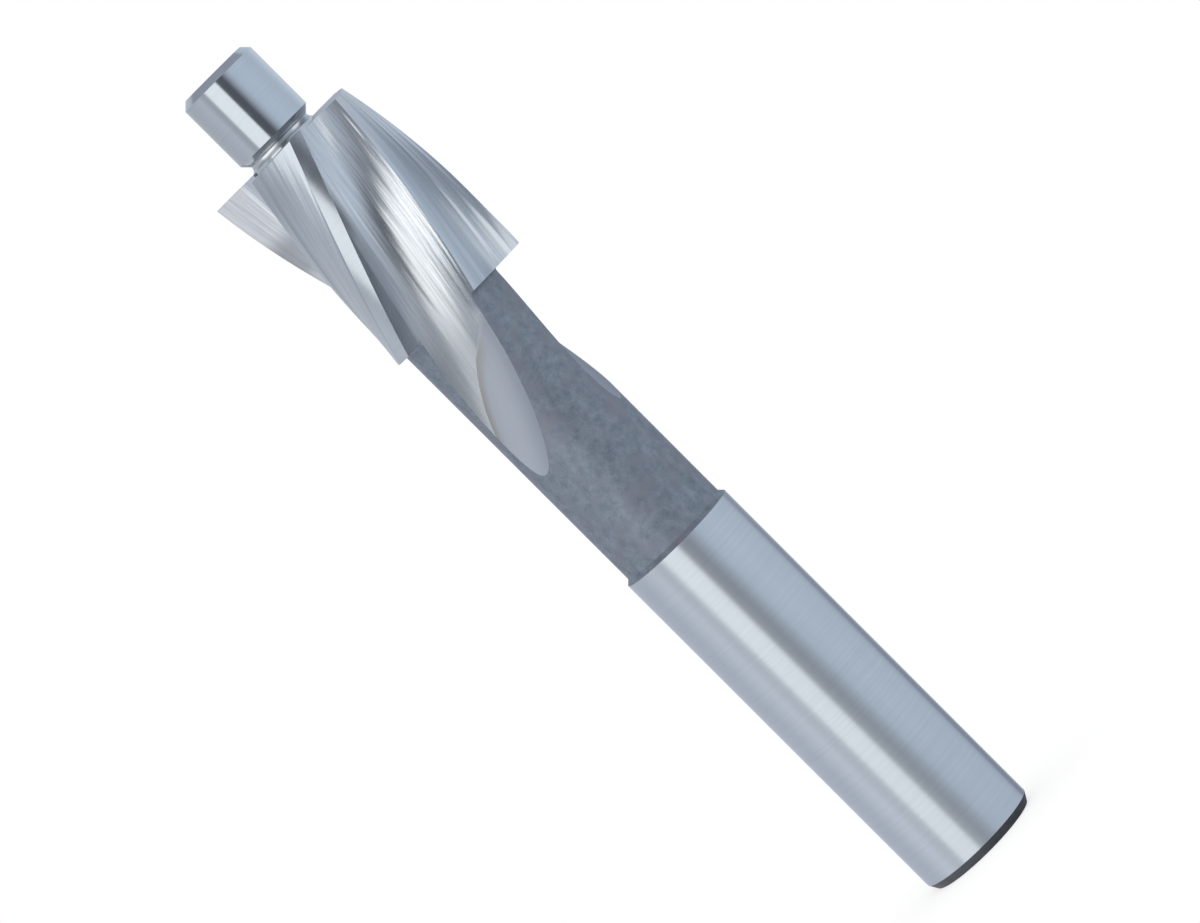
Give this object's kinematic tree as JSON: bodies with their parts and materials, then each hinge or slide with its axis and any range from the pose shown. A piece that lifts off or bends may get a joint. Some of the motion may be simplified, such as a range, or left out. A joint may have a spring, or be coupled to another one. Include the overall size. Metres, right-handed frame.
{
  "type": "counterbore cutter",
  "caption": "Straight-shank counterbore cutter: plain round shank, slimmer neck, cutting head with helical flutes, and a fixed guide pilot at the tip.",
  "frame": {"origin": "centre of the flat shank end", "axes": "+Z along the tool's axis, from the shank end to the pilot; -Y is the side seen in the picture"},
  "size_m": [0.0176, 0.0178, 0.1],
  "materials": {
    "tool_steel": "ground bright, with a dark heat-treated neck"
  },
  "bodies": {
    "root": {"counterbore": "tool_steel"}
  },
  "joints": []
}
